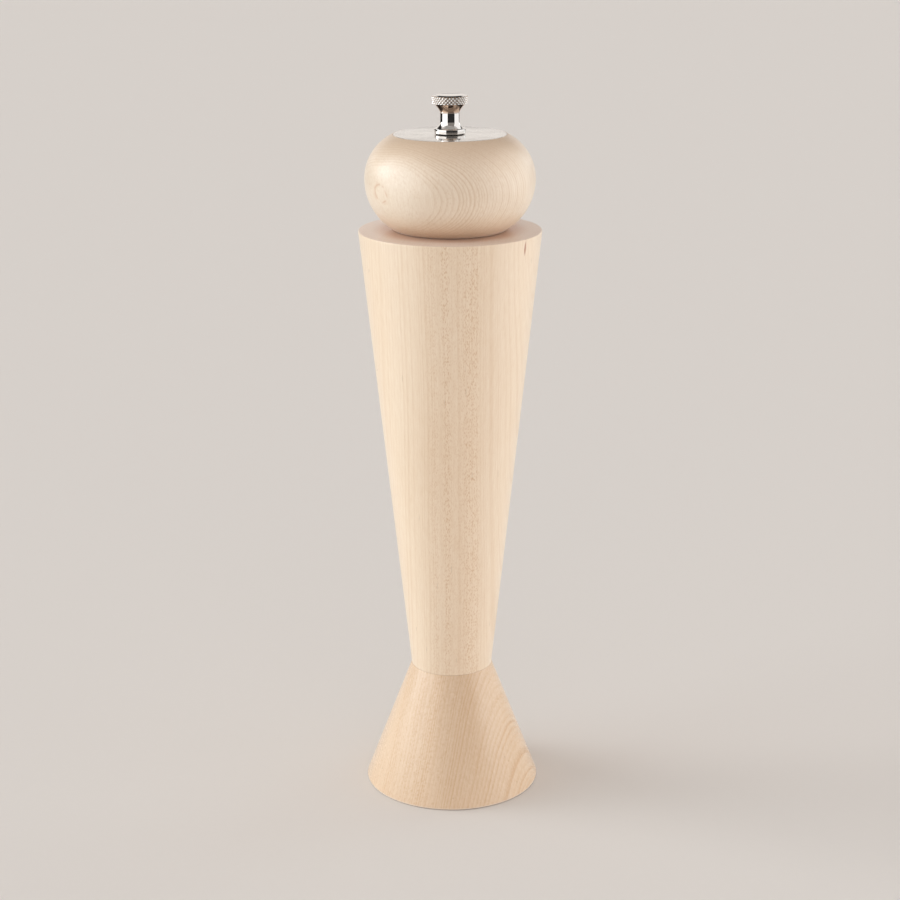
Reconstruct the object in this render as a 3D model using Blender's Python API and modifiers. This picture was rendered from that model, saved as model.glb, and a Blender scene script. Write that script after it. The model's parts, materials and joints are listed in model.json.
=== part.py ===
"""A turned maple pepper mill: cone foot, flared body, ball-shaped head and a steel burr mechanism.

Units are metres and +Z is up. The origin is the centre of the foot's underside.
The head turns the square shaft, which turns the burr. The knurled nut on top draws the shaft
up, which closes the burrs. With the nut off, the head lifts off to fill the body with pepper.
"""

import math

import bpy

MM = 0.001
GAP = 0.3 * MM  # between pieces that touch
FINE_GAP = 0.15 * MM  # between the thin plates of the stack on the head
GLUE_LINE = 0.05 * MM  # between the two glued pieces of wood

TURN_STEPS = 48  # sides of a large turned piece
SMALL_STEPS = 40  # sides of a small turned piece
BURR_STEPS = 72  # sides of a burr, a multiple of every tooth count
COIL_STEPS = 12  # points in a turn of the spring

# Foot, a plain cone that the body is glued to
FOOT_R = 33.2 * MM
SEAM_Z = 47.7 * MM
SEAM_R = 15.4 * MM
FOOT_EDGE_R = 0.6 * MM
TENON_R = 12.5 * MM
TENON_TOP_Z = 55.7 * MM
BAR_RECESS_R = 26.5 * MM
BAR_RECESS_TOP_Z = 4.0 * MM
FLANGE_RECESS_R = 20.5 * MM
FLANGE_RECESS_TOP_Z = 8.5 * MM
BURR_BORE_R = 14.0 * MM
BURR_BORE_TOP_Z = 36.1 * MM
NECK_BORE_R = 10.5 * MM

# Body, flared upwards and bored for the peppercorns
RIM_R = 33.5 * MM
RIM_Z = 216.9 * MM
RIM_EDGE_R = 0.5 * MM
CHAMBER_R = 13.5 * MM
CHAMBER_FLOOR_Z = 74.0 * MM
CHAMBER_CONE_HEIGHT = 4.0 * MM
MOUTH_CHAMFER = 0.8 * MM

# Head, two arcs that meet at its widest point, with a tenon that centres it in the body's mouth
HEAD_FLOOR_Z = RIM_Z + GAP
HEAD_WIDEST_Z = 235.4 * MM
HEAD_WIDEST_R = 31.0 * MM
HEAD_UPPER_ARC_R = 17.6 * MM
HEAD_LOWER_ARC_R = 21.0 * MM
HEAD_SEAT_Z = 251.0 * MM  # floor of the recess that the top plate lies in
HEAD_BORE_R = 4.2 * MM
HEAD_TENON_R = CHAMBER_R - GAP
HEAD_TENON_FLOOR_Z = 209.0 * MM

# Top plate, washer and knurled nut
PLATE_R = 20.5 * MM
PLATE_TOP_Z = 251.75 * MM
PLATE_THICKNESS = 0.6 * MM
THREAD_CLEARANCE_R = 2.9 * MM
WASHER_R = 4.9 * MM
WASHER_THICKNESS = 0.25 * MM
NUT_FLOOR_Z = PLATE_TOP_Z + FINE_GAP + WASHER_THICKNESS + FINE_GAP
NUT_TOP_Z = 265.4 * MM
NUT_GRIP_Z = (262.5 * MM, 265.1 * MM)
NUT_WAIST_Z = (256.0 * MM, 258.9 * MM)
NUT_FOOT_TOP_Z = 253.6 * MM
NUT_FOOT_R = 5.7 * MM
NUT_WAIST_R = 3.5 * MM
NUT_GRIP_R = 6.5 * MM
NUT_FLAT_R = 4.9 * MM
NUT_FLARE_POWER = 1.6
NUT_BORE_R = 2.7 * MM
NUT_BORE_TOP_Z = 263.0 * MM

# Shaft: round pin, clip groove, square bar, round threaded end
SHAFT_HALF_WIDTH = 2.5 * MM
SHAFT_ROUND_R = 2.4 * MM
SHAFT_GROOVE_R = 1.9 * MM
SHAFT_FLOOR_Z = 0.6 * MM
SHAFT_GROOVE_Z = (4.8 * MM, 5.8 * MM)
SHAFT_SQUARE_TOP_Z = 213.0 * MM
SHAFT_TOP_Z = 260.8 * MM
SHAFT_TIP_CHAMFER = 0.6 * MM
SQUARE_HOLE_HALF_WIDTH = SHAFT_HALF_WIDTH + GAP

# Rotor, the inner burr that slides on the square shaft
ROTOR_FLOOR_Z = 6.0 * MM
ROTOR_HEIGHT = 16.0 * MM
ROTOR_FINE_HEIGHT = 4.0 * MM
ROTOR_FLOOR_R = 9.6 * MM
ROTOR_FINE_TOP_R = 8.6 * MM
ROTOR_TOP_R = 6.2 * MM
ROTOR_COARSE_TEETH = 8
ROTOR_TWIST = math.radians(75)
CLIP_INNER_R = SHAFT_GROOVE_R + 0.2 * MM
CLIP_OUTER_R = 4.4 * MM
CLIP_THICKNESS = 0.7 * MM
CLIP_OPENING = math.radians(70)

# Stator, the fixed outer burr, with a flange that is screwed up into the foot
STATOR_FLOOR_Z = 6.5 * MM
STATOR_TOP_Z = 25.5 * MM
STATOR_R = BURR_BORE_R - GAP
STATOR_FLANGE_R = FLANGE_RECESS_R - GAP
STATOR_FLANGE_THICKNESS = FLANGE_RECESS_TOP_Z - GAP - STATOR_FLOOR_Z
STATOR_FLOOR_TOOTH_R = 10.05 * MM
STATOR_FINE_TOOTH_R = 9.05 * MM
STATOR_TOP_TOOTH_R = 11.2 * MM
STATOR_COARSE_TEETH = 12
FINE_TEETH = 36
COARSE_TOOTH_DEPTH = 1.1 * MM
FINE_TOOTH_DEPTH = 0.45 * MM

# Yoke over the burrs, a bent strap that guides the shaft and takes the spring's push
YOKE_THICKNESS = 1.4 * MM
YOKE_WIDTH = 10.0 * MM
YOKE_TOP_Z = BURR_BORE_TOP_Z - GAP
YOKE_LEG_X = 11.9 * MM
YOKE_BEND_R = 2.0 * MM
YOKE_HOLE_R = 3.9 * MM

# Spring and the thrust washer above it
SEAT_R = 6.2 * MM
SEAT_THICKNESS = 0.8 * MM
SEAT_FLOOR_Z = YOKE_TOP_Z - YOKE_THICKNESS - GAP - SEAT_THICKNESS
SPRING_R = 4.6 * MM
SPRING_WIRE_R = 0.5 * MM
SPRING_TURNS = 5
SPRING_END_PITCH = 1.2 * MM

# Bar across the foot, which holds the shaft's pin
BAR_FLOOR_Z = 2.2 * MM
BAR_THICKNESS = 1.5 * MM
BAR_HALF_LENGTH = BAR_RECESS_R - GAP
BAR_END_R = 4.5 * MM
BAR_PIN_HOLE_R = 2.7 * MM
BAR_SCREW_X = 23.5 * MM

# Driver plate under the head's tenon, with the square hole that turns the shaft
DRIVER_R = 11.5 * MM
DRIVER_THICKNESS = 1.2 * MM
DRIVER_FLOOR_Z = HEAD_TENON_FLOOR_Z - GAP - DRIVER_THICKNESS

# Screws: shank radius, shank length, head radius, head height
STATOR_SCREW = (1.2 * MM, 8.8 * MM, 2.2 * MM, 1.3 * MM)
STATOR_SCREW_CIRCLE_R = 17.2 * MM
BAR_SCREW = (1.2 * MM, 9.4 * MM, 2.4 * MM, 1.3 * MM)
DRIVER_SCREW = (1.0 * MM, 7.0 * MM, 2.0 * MM, 1.1 * MM)
DRIVER_SCREW_CIRCLE_R = 8.0 * MM
SCREW_HEAD_GAP = 0.2 * MM
SCREW_TIP_LENGTH = 2.0 * MM
SLOT_WIDTH = 0.6 * MM
SLOT_DEPTH = 0.6 * MM
PILOT_EXTRA_DEPTH = 1.0 * MM
SCREW_START_DEG = 92.5  # between the corners of the burrs and of the turned pieces


# Scene, materials and small helpers


def clear_scene():
    for old in list(bpy.data.objects):
        bpy.data.objects.remove(old, do_unlink=True)


def new_collection(name):
    group = bpy.data.collections.new(name)
    bpy.context.scene.collection.children.link(group)
    return group


def new_material(name, colour, roughness, metallic=0.0):
    material = bpy.data.materials.new(name)
    material.use_nodes = True
    shader = material.node_tree.nodes["Principled BSDF"]
    shader.inputs["Base Color"].default_value = (*colour, 1.0)
    shader.inputs["Roughness"].default_value = roughness
    shader.inputs["Metallic"].default_value = metallic
    material.diffuse_color = (*colour, 1.0)
    return material


def pale_maple(name):
    return new_material(name, (0.80, 0.65, 0.46), 0.48)


def warm_maple(name):
    return new_material(name, (0.70, 0.49, 0.31), 0.46)


def polished_nickel(name):
    return new_material(name, (0.76, 0.74, 0.71), 0.08, 1.0)


def plated_steel(name):
    return new_material(name, (0.62, 0.61, 0.59), 0.32, 1.0)


def burr_steel(name):
    return new_material(name, (0.34, 0.33, 0.32), 0.45, 1.0)


def black_fibre(name):
    return new_material(name, (0.03, 0.03, 0.03), 0.6)


def new_axis(name, z, parent=None):
    """An empty on the mill's axis, which a moving group hangs from."""
    axis = bpy.data.objects.new(name, None)
    axis.empty_display_size = 10 * MM
    PARTS.objects.link(axis)
    axis.location = (0, 0, z - world_z(parent))
    axis.parent = parent
    return axis


def world_z(thing):
    height = 0.0
    while thing is not None:
        height += thing.location.z
        thing = thing.parent
    return height


def add_piece(name, data, make_material, z=0.0, parent=None, xy=(0.0, 0.0)):
    """Places data at world height z, riding on parent, with a material of its own."""
    piece = bpy.data.objects.new(name, data)
    PARTS.objects.link(piece)
    piece.location = (*xy, z - world_z(parent))
    piece.parent = parent
    if not data.materials:
        data.materials.append(make_material(name + "_finish"))
    return piece


def arc(centre_r, centre_z, radius, start_deg, end_deg, steps):
    """Points on an arc in the profile plane, from one angle to another, 0 degrees pointing out."""
    angles = [math.radians(start_deg + (end_deg - start_deg) * i / steps) for i in range(steps + 1)]
    return [(centre_r + radius * math.cos(a), centre_z + radius * math.sin(a)) for a in angles]


def circle(radius, steps, x=0.0, y=0.0):
    angles = [2 * math.pi * i / steps for i in range(steps)]
    return [(x + radius * math.cos(a), y + radius * math.sin(a)) for a in angles]


def square(half_width):
    return [(x * half_width, y * half_width) for x, y in ((1, 1), (-1, 1), (-1, -1), (1, -1))]


def around(count, radius, start_deg=SCREW_START_DEG):
    """Centres evenly spaced on a circle about the axis."""
    angles = [math.radians(start_deg + 360.0 * i / count) for i in range(count)]
    return [(radius * math.cos(a), radius * math.sin(a)) for a in angles]


def profile_mesh(name, outline, closed):
    """Edges through (radius, height) points, in the XZ plane."""
    mesh = bpy.data.meshes.new(name)
    points = [(r, 0.0, z) for r, z in outline]
    edges = [(i, i + 1) for i in range(len(points) - 1)]
    if closed:
        edges.append((len(points) - 1, 0))
    mesh.from_pydata(points, edges, [])
    return mesh


def spin(piece, steps):
    screw = piece.modifiers.new("Turning", "SCREW")
    screw.steps = steps
    screw.render_steps = steps
    screw.use_merge_vertices = True
    screw.merge_threshold = 0.00001
    screw.use_smooth_shade = True


def turned_ring(name, outline, make_material, steps=TURN_STEPS, **place):
    """A turned piece with a hole on its axis. The outline runs down its outer side and back up its bore."""
    piece = add_piece(name, profile_mesh(name, outline, closed=True), make_material, **place)
    spin(piece, steps)
    return piece


def turned_solid(name, outline, make_material, steps=SMALL_STEPS, **place):
    """A turned piece whose outline starts and ends on the axis."""
    piece = add_piece(name, profile_mesh(name, outline, closed=False), make_material, **place)
    spin(piece, steps)
    return piece


def flat_piece(name, outlines, thickness, make_material, z, **place):
    """A plate cut to the first outline, with the others as holes, its underside at height z."""
    curve = bpy.data.curves.new(name, "CURVE")
    curve.dimensions = "2D"
    curve.fill_mode = "BOTH"
    curve.extrude = thickness / 2
    for outline in outlines:
        spline = curve.splines.new("POLY")
        spline.points.add(len(outline) - 1)
        for point, (x, y) in zip(spline.points, outline):
            point.co = (x, y, 0.0, 1.0)
        spline.use_cyclic_u = True
    return add_piece(name, curve, make_material, z=z + thickness / 2, **place)


def lofted(name, rings, make_material, tube, **place):
    """Skins rings of equally many points. A tube's last ring joins its first, and a bar is capped."""
    count = len(rings[0])
    points = [point for ring in rings for point in ring]
    pairs = len(rings) if tube else len(rings) - 1
    faces = []
    for k in range(pairs):
        low = k * count
        high = (k + 1) % len(rings) * count
        for i in range(count):
            j = (i + 1) % count
            faces.append((low + i, low + j, high + j, high + i))
    if not tube:
        faces.append(tuple(reversed(range(count))))
        faces.append(tuple(range(len(points) - count, len(points))))
    mesh = bpy.data.meshes.new(name)
    mesh.from_pydata(points, [], faces)
    mesh.shade_smooth()
    mesh.set_sharp_from_angle(angle=math.radians(35))
    return add_piece(name, mesh, make_material, **place)


def drill(piece, name, centres, radius, low_z, high_z):
    """Cuts round holes along Z through piece, between two world heights."""
    for i, (x, y) in enumerate(centres, start=1):
        bpy.ops.mesh.primitive_cylinder_add(
            vertices=16, radius=radius, depth=high_z - low_z, location=(x, y, (low_z + high_z) / 2)
        )
        cut_away(piece, bpy.context.object, f"{name}_{i}")


def cut_away(piece, cutter, name):
    cutter.name = name
    cutter.hide_render = True
    cutter.display_type = "WIRE"
    for group in list(cutter.users_collection):
        group.objects.unlink(cutter)
    CUTTERS.objects.link(cutter)
    cut = piece.modifiers.new(name, "BOOLEAN")
    cut.operation = "DIFFERENCE"
    cut.object = cutter


# Wooden pieces


def make_base():
    outline = [
        (TENON_R, TENON_TOP_Z),
        (TENON_R, SEAM_Z),
        (SEAM_R, SEAM_Z),
        *arc(FOOT_R - FOOT_EDGE_R, FOOT_EDGE_R, FOOT_EDGE_R, 0, -90, 3),
        (BAR_RECESS_R, 0.0),
        (BAR_RECESS_R, BAR_RECESS_TOP_Z),
        (FLANGE_RECESS_R, BAR_RECESS_TOP_Z),
        (FLANGE_RECESS_R, FLANGE_RECESS_TOP_Z),
        (BURR_BORE_R, FLANGE_RECESS_TOP_Z),
        (BURR_BORE_R, BURR_BORE_TOP_Z),
        (NECK_BORE_R, BURR_BORE_TOP_Z),
        (NECK_BORE_R, TENON_TOP_Z),
    ]
    base = turned_ring("base", outline, warm_maple)
    stator_pilot_top_z = STATOR_FLOOR_Z + STATOR_SCREW[1] + PILOT_EXTRA_DEPTH
    drill(
        base,
        "stator_pilot",
        around(3, STATOR_SCREW_CIRCLE_R),
        STATOR_SCREW[0] + GAP,
        BAR_RECESS_TOP_Z,
        stator_pilot_top_z,
    )
    bar_pilot_top_z = BAR_FLOOR_Z + BAR_SCREW[1] + PILOT_EXTRA_DEPTH
    drill(base, "bar_pilot", bar_screw_centres(), BAR_SCREW[0] + GAP, BAR_FLOOR_Z, bar_pilot_top_z)


def make_upper_body():
    floor_z = SEAM_Z + GLUE_LINE
    outline = [
        (CHAMBER_R + MOUTH_CHAMFER, RIM_Z),
        *arc(RIM_R - RIM_EDGE_R, RIM_Z - RIM_EDGE_R, RIM_EDGE_R, 90, 0, 3),
        (SEAM_R, floor_z),
        (TENON_R + GAP, floor_z),
        (TENON_R + GAP, TENON_TOP_Z + GAP),
        (NECK_BORE_R, TENON_TOP_Z + GAP),
        (NECK_BORE_R, CHAMBER_FLOOR_Z),
        (CHAMBER_R, CHAMBER_FLOOR_Z + CHAMBER_CONE_HEIGHT),
        (CHAMBER_R, RIM_Z - MOUTH_CHAMFER),
    ]
    turned_ring("upper_body", outline, pale_maple)


def make_head(axis):
    recess_r = PLATE_R + GAP
    arc_centre_r = HEAD_WIDEST_R - HEAD_UPPER_ARC_R
    top_deg = math.degrees(math.acos((recess_r - arc_centre_r) / HEAD_UPPER_ARC_R))
    floor_deg = math.degrees(math.asin((HEAD_FLOOR_Z - HEAD_WIDEST_Z) / HEAD_LOWER_ARC_R))
    upper = arc(arc_centre_r, HEAD_WIDEST_Z, HEAD_UPPER_ARC_R, top_deg, 0, 7)
    lower = arc(HEAD_WIDEST_R - HEAD_LOWER_ARC_R, HEAD_WIDEST_Z, HEAD_LOWER_ARC_R, 0, floor_deg, 6)
    chamfer = 1.0 * MM
    outline = [
        (HEAD_BORE_R, HEAD_SEAT_Z),
        (recess_r, HEAD_SEAT_Z),
        *upper,
        *lower[1:],
        (HEAD_TENON_R, HEAD_FLOOR_Z),
        (HEAD_TENON_R, HEAD_TENON_FLOOR_Z + chamfer),
        (HEAD_TENON_R - chamfer, HEAD_TENON_FLOOR_Z),
        (HEAD_BORE_R, HEAD_TENON_FLOOR_Z),
    ]
    rings = [(r, z - HEAD_FLOOR_Z) for r, z in outline]
    head = turned_ring("head", rings, pale_maple, z=HEAD_FLOOR_Z, parent=axis)
    pilot_top_z = DRIVER_FLOOR_Z + DRIVER_SCREW[1] + PILOT_EXTRA_DEPTH
    drill(
        head,
        "driver_pilot",
        around(3, DRIVER_SCREW_CIRCLE_R),
        DRIVER_SCREW[0] + GAP,
        DRIVER_FLOOR_Z,
        pilot_top_z,
    )


# Top plate, washer and nut


def make_top_plate(axis):
    edge = 0.35 * MM
    outline = [
        (THREAD_CLEARANCE_R, PLATE_THICKNESS),
        *arc(PLATE_R - edge, PLATE_THICKNESS - edge, edge, 90, 0, 3),
        (PLATE_R, 0.0),
        (THREAD_CLEARANCE_R, 0.0),
    ]
    turned_ring("top_plate", outline, polished_nickel, z=PLATE_TOP_Z - PLATE_THICKNESS, parent=axis)


def make_nut_washer(axis):
    outlines = [circle(WASHER_R, SMALL_STEPS), circle(THREAD_CLEARANCE_R, 24)]
    flat_piece(
        "nut_washer", outlines, WASHER_THICKNESS, black_fibre, z=PLATE_TOP_Z + FINE_GAP, parent=axis
    )


def make_finial_nut(axis):
    grip_floor_z, grip_top_z = NUT_GRIP_Z
    waist_floor_z, waist_top_z = NUT_WAIST_Z
    edge = 0.2 * MM
    outline = [
        (0.0, NUT_TOP_Z),
        (NUT_FLAT_R, NUT_TOP_Z),
        (NUT_GRIP_R - edge, grip_top_z),
        (NUT_GRIP_R, grip_top_z - edge),
        (NUT_GRIP_R, grip_floor_z),
        *hollow_flare((5.6 * MM, grip_floor_z - 0.4 * MM), (NUT_WAIST_R, waist_top_z), 5),
        *reversed(hollow_flare((4.9 * MM, NUT_FOOT_TOP_Z), (NUT_WAIST_R, waist_floor_z), 5)),
        (NUT_FOOT_R - edge, NUT_FOOT_TOP_Z - 0.1 * MM),
        (NUT_FOOT_R, NUT_FOOT_TOP_Z - 0.1 * MM - edge),
        (NUT_FOOT_R, NUT_FLOOR_Z + edge),
        (NUT_FOOT_R - edge, NUT_FLOOR_Z),
        (NUT_BORE_R, NUT_FLOOR_Z),
        (NUT_BORE_R, NUT_BORE_TOP_Z),
        (0.0, NUT_BORE_TOP_Z),
    ]
    outline = [(r, z - NUT_FLOOR_Z) for r, z in outline]
    turned_solid("finial_nut", outline, polished_nickel, z=NUT_FLOOR_Z, parent=axis)


def hollow_flare(wide, waist, steps):
    """Points from a wide edge in to the waist, which it meets upright. Both are (radius, height)."""
    points = []
    for i in range(steps + 1):
        share = 1 - i / steps
        radius = waist[0] + (wide[0] - waist[0]) * share**NUT_FLARE_POWER
        points.append((radius, waist[1] + (wide[1] - waist[1]) * share))
    return points


# Shaft and burrs


def ring_at(z, radius_of, count, turn=0.0):
    """Points around the axis at height z, counter-clockwise from above, with a radius for each angle."""
    points = []
    for i in range(count):
        angle = 2 * math.pi * i / count
        radius = radius_of(angle)
        points.append((radius * math.cos(angle + turn), radius * math.sin(angle + turn), z))
    return points


def round_section(radius):
    return lambda angle: radius


def square_section(half_width):
    return lambda angle: half_width / max(abs(math.cos(angle)), abs(math.sin(angle)))


def toothed_section(tip_r, coarse_teeth, coarse_depth, fine_depth):
    """Teeth cut to a depth from their tips. A negative depth cuts outwards, for an inside surface."""

    def radius_of(angle):
        coarse = 0.5 - 0.5 * math.cos(coarse_teeth * angle)
        fine = 0.5 - 0.5 * math.cos(FINE_TEETH * angle)
        return tip_r - coarse_depth * coarse - fine_depth * fine

    return radius_of


def make_shaft(axis):
    groove_low_z, groove_high_z = SHAFT_GROOVE_Z
    sections = [
        (SHAFT_FLOOR_Z, round_section(SHAFT_ROUND_R - SHAFT_TIP_CHAMFER)),
        (SHAFT_FLOOR_Z + SHAFT_TIP_CHAMFER, round_section(SHAFT_ROUND_R)),
        (groove_low_z, round_section(SHAFT_ROUND_R)),
        (groove_low_z, round_section(SHAFT_GROOVE_R)),
        (groove_high_z, round_section(SHAFT_GROOVE_R)),
        (groove_high_z, square_section(SHAFT_HALF_WIDTH)),
        (SHAFT_SQUARE_TOP_Z, square_section(SHAFT_HALF_WIDTH)),
        (SHAFT_SQUARE_TOP_Z, round_section(SHAFT_ROUND_R)),
        (SHAFT_TOP_Z - SHAFT_TIP_CHAMFER, round_section(SHAFT_ROUND_R)),
        (SHAFT_TOP_Z, round_section(SHAFT_ROUND_R - SHAFT_TIP_CHAMFER)),
    ]
    rings = [ring_at(z - SHAFT_FLOOR_Z, section, 24) for z, section in sections]
    lofted("shaft", rings, plated_steel, tube=False, z=SHAFT_FLOOR_Z, parent=axis)


def make_rotor(axis):
    """The inner burr: coarse spiral teeth above, a fine steeper ring of teeth below."""
    rings = []
    fine_levels = 2
    coarse_levels = 6
    for i in range(fine_levels + 1):
        share = i / fine_levels
        tip_r = ROTOR_FLOOR_R + (ROTOR_FINE_TOP_R - ROTOR_FLOOR_R) * share
        section = toothed_section(tip_r, ROTOR_COARSE_TEETH, 0.0, FINE_TOOTH_DEPTH)
        rings.append(ring_at(ROTOR_FINE_HEIGHT * share, section, BURR_STEPS))
    for i in range(1, coarse_levels + 1):
        share = i / coarse_levels
        tip_r = ROTOR_FINE_TOP_R + (ROTOR_TOP_R - ROTOR_FINE_TOP_R) * share
        depth = COARSE_TOOTH_DEPTH * min(1.0, 2 * share)
        section = toothed_section(tip_r, ROTOR_COARSE_TEETH, depth, 0.0)
        height = ROTOR_FINE_HEIGHT + (ROTOR_HEIGHT - ROTOR_FINE_HEIGHT) * share
        rings.append(ring_at(height, section, BURR_STEPS, turn=ROTOR_TWIST * share))
    hole = square_section(SQUARE_HOLE_HALF_WIDTH)
    rings.append(ring_at(ROTOR_HEIGHT, hole, BURR_STEPS, turn=0.0))
    rings.append(ring_at(0.0, hole, BURR_STEPS))
    lofted("rotor", rings, burr_steel, tube=True, z=ROTOR_FLOOR_Z, parent=axis)


def make_stator():
    """The outer burr: a flanged ring with coarse teeth above and fine teeth below, cut inside."""
    rings = [
        ring_at(0.0, round_section(STATOR_FLANGE_R), BURR_STEPS),
        ring_at(STATOR_FLANGE_THICKNESS, round_section(STATOR_FLANGE_R), BURR_STEPS),
        ring_at(STATOR_FLANGE_THICKNESS, round_section(STATOR_R), BURR_STEPS),
        ring_at(STATOR_TOP_Z - STATOR_FLOOR_Z, round_section(STATOR_R), BURR_STEPS),
    ]
    coarse_levels = 4
    for i in range(coarse_levels + 1):
        share = 1 - i / coarse_levels
        tip_r = STATOR_FINE_TOOTH_R + (STATOR_TOP_TOOTH_R - STATOR_FINE_TOOTH_R) * share
        section = toothed_section(
            tip_r, STATOR_COARSE_TEETH, -COARSE_TOOTH_DEPTH * share, -FINE_TOOTH_DEPTH * (1 - share)
        )
        fine_top_z = STATOR_FLOOR_Z + ROTOR_FINE_HEIGHT
        height = fine_top_z + (STATOR_TOP_Z - fine_top_z) * share - STATOR_FLOOR_Z
        rings.append(ring_at(height, section, BURR_STEPS))
    section = toothed_section(STATOR_FLOOR_TOOTH_R, STATOR_COARSE_TEETH, 0.0, -FINE_TOOTH_DEPTH)
    rings.append(ring_at(0.0, section, BURR_STEPS))
    stator = lofted("stator", rings, burr_steel, tube=True, z=STATOR_FLOOR_Z)
    hole_r = STATOR_SCREW[0] + GAP
    drill(stator, "flange_hole", around(3, STATOR_SCREW_CIRCLE_R), hole_r, 5 * MM, 10 * MM)


def make_rotor_clip(axis):
    """An open ring that snaps into the shaft's groove and carries the rotor."""
    steps = 20
    half_opening = CLIP_OPENING / 2
    span = 2 * math.pi - CLIP_OPENING
    angles = [half_opening + span * i / steps for i in range(steps + 1)]
    outer = [(CLIP_OUTER_R * math.cos(a), CLIP_OUTER_R * math.sin(a)) for a in angles]
    inner = [(CLIP_INNER_R * math.cos(a), CLIP_INNER_R * math.sin(a)) for a in reversed(angles)]
    floor_z = (sum(SHAFT_GROOVE_Z) - CLIP_THICKNESS) / 2
    flat_piece("rotor_clip", [outer + inner], CLIP_THICKNESS, plated_steel, z=floor_z, parent=axis)


# Spring, its seat and the yoke


def make_yoke():
    """A strap bent over the burrs: two legs on the stator and a bridge with a hole for the shaft."""
    leg_floor_z = STATOR_TOP_Z + GAP
    bridge_z = YOKE_TOP_Z - YOKE_THICKNESS / 2
    bend = arc(YOKE_LEG_X - YOKE_BEND_R, bridge_z - YOKE_BEND_R, YOKE_BEND_R, 0, 90, 4)
    right = [(YOKE_LEG_X, leg_floor_z), *bend]
    path = right + [(-x, z) for x, z in reversed(right)]
    half = YOKE_WIDTH / 2
    points = [(x, -half, z) for x, z in path] + [(x, half, z) for x, z in path]
    count = len(path)
    faces = [(i, i + 1, count + i + 1, count + i) for i in range(count - 1)]
    mesh = bpy.data.meshes.new("yoke")
    mesh.from_pydata(points, [], faces)
    yoke = add_piece("yoke", mesh, plated_steel)
    thicken = yoke.modifiers.new("Thickness", "SOLIDIFY")
    thicken.thickness = YOKE_THICKNESS
    thicken.offset = 0.0
    thicken.use_even_offset = True
    drill(yoke, "yoke_hole", [(0.0, 0.0)], YOKE_HOLE_R, bridge_z - 2 * MM, bridge_z + 2 * MM)


def make_spring_seat(axis):
    outlines = [circle(SEAT_R, SMALL_STEPS), square(SQUARE_HOLE_HALF_WIDTH)]
    flat_piece("spring_seat", outlines, SEAT_THICKNESS, plated_steel, z=SEAT_FLOOR_Z, parent=axis)


def make_spring(axis):
    """A compression spring with a closer turn at each end."""
    floor_z = ROTOR_FLOOR_Z + ROTOR_HEIGHT + GAP + SPRING_WIRE_R
    top_z = SEAT_FLOOR_Z - GAP - SPRING_WIRE_R
    open_pitch = (top_z - floor_z - 2 * SPRING_END_PITCH) / (SPRING_TURNS - 2)
    curve = bpy.data.curves.new("spring", "CURVE")
    curve.dimensions = "3D"
    curve.bevel_depth = SPRING_WIRE_R
    curve.bevel_resolution = 2
    curve.use_fill_caps = True
    count = SPRING_TURNS * COIL_STEPS
    spline = curve.splines.new("POLY")
    spline.points.add(count)
    height = 0.0
    for i, point in enumerate(spline.points):
        turn = i / COIL_STEPS
        angle = 2 * math.pi * turn
        point.co = (SPRING_R * math.cos(angle), SPRING_R * math.sin(angle), height, 1.0)
        at_end = turn < 1 or turn >= SPRING_TURNS - 1
        height += (SPRING_END_PITCH if at_end else open_pitch) / COIL_STEPS
    add_piece("spring", curve, plated_steel, z=floor_z, parent=axis)


# Bar and driver plate


def bar_screw_centres():
    return [(-BAR_SCREW_X, 0.0), (BAR_SCREW_X, 0.0)]


def make_bottom_bar():
    """A strap with round ends across the foot, with a hole for the shaft's pin and two for screws."""
    steps = 10
    end_x = BAR_HALF_LENGTH - BAR_END_R
    right = [(end_x + x, z) for x, z in arc(0.0, 0.0, BAR_END_R, -90, 90, steps)]
    left = [(-x, -y) for x, y in right]
    outlines = [right + left, circle(BAR_PIN_HOLE_R, 24)]
    for x, y in bar_screw_centres():
        outlines.append(circle(BAR_SCREW[0] + GAP, 16, x, y))
    flat_piece("bottom_bar", outlines, BAR_THICKNESS, plated_steel, z=BAR_FLOOR_Z)


def make_driver_plate(axis):
    outlines = [circle(DRIVER_R, SMALL_STEPS), square(SQUARE_HOLE_HALF_WIDTH)]
    for x, y in around(3, DRIVER_SCREW_CIRCLE_R):
        outlines.append(circle(DRIVER_SCREW[0] + GAP, 16, x, y))
    flat_piece("driver_plate", outlines, DRIVER_THICKNESS, plated_steel, z=DRIVER_FLOOR_Z, parent=axis)


# Screws, all driven upwards


def screw_mesh(name, size):
    """One slotted pan-head screw that points up, with the underside of its head at height 0."""
    shank_r, length, head_r, head_height = size
    outline = [
        (0.0, length),
        (0.3 * MM, length),
        (shank_r, length - SCREW_TIP_LENGTH),
        (shank_r, 0.0),
        (head_r, 0.0),
        (head_r, -0.5 * head_height),
        (0.8 * head_r, -head_height),
        (0.0, -head_height),
    ]
    blank = turned_solid(name + "_blank", outline, plated_steel, steps=16)
    bpy.ops.mesh.primitive_cube_add(size=1.0, location=(0, 0, -head_height))
    slot = bpy.context.object
    slot.scale = (3 * head_r, SLOT_WIDTH, 2 * SLOT_DEPTH)
    cut_away(blank, slot, name + "_slot")
    bpy.context.view_layer.update()
    evaluated = blank.evaluated_get(bpy.context.evaluated_depsgraph_get())
    mesh = bpy.data.meshes.new_from_object(evaluated)
    mesh.name = name
    mesh.set_sharp_from_angle(angle=math.radians(35))
    bpy.data.objects.remove(blank, do_unlink=True)
    bpy.data.objects.remove(slot, do_unlink=True)
    return mesh


def make_screws(name, size, centres, seat_z, axis=None):
    """A screw at each centre, its head a little under the seat that it holds."""
    mesh = screw_mesh(name, size)
    for i, xy in enumerate(centres, start=1):
        add_piece(f"{name}_{i}", mesh, plated_steel, z=seat_z - SCREW_HEAD_GAP, parent=axis, xy=xy)


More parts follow.
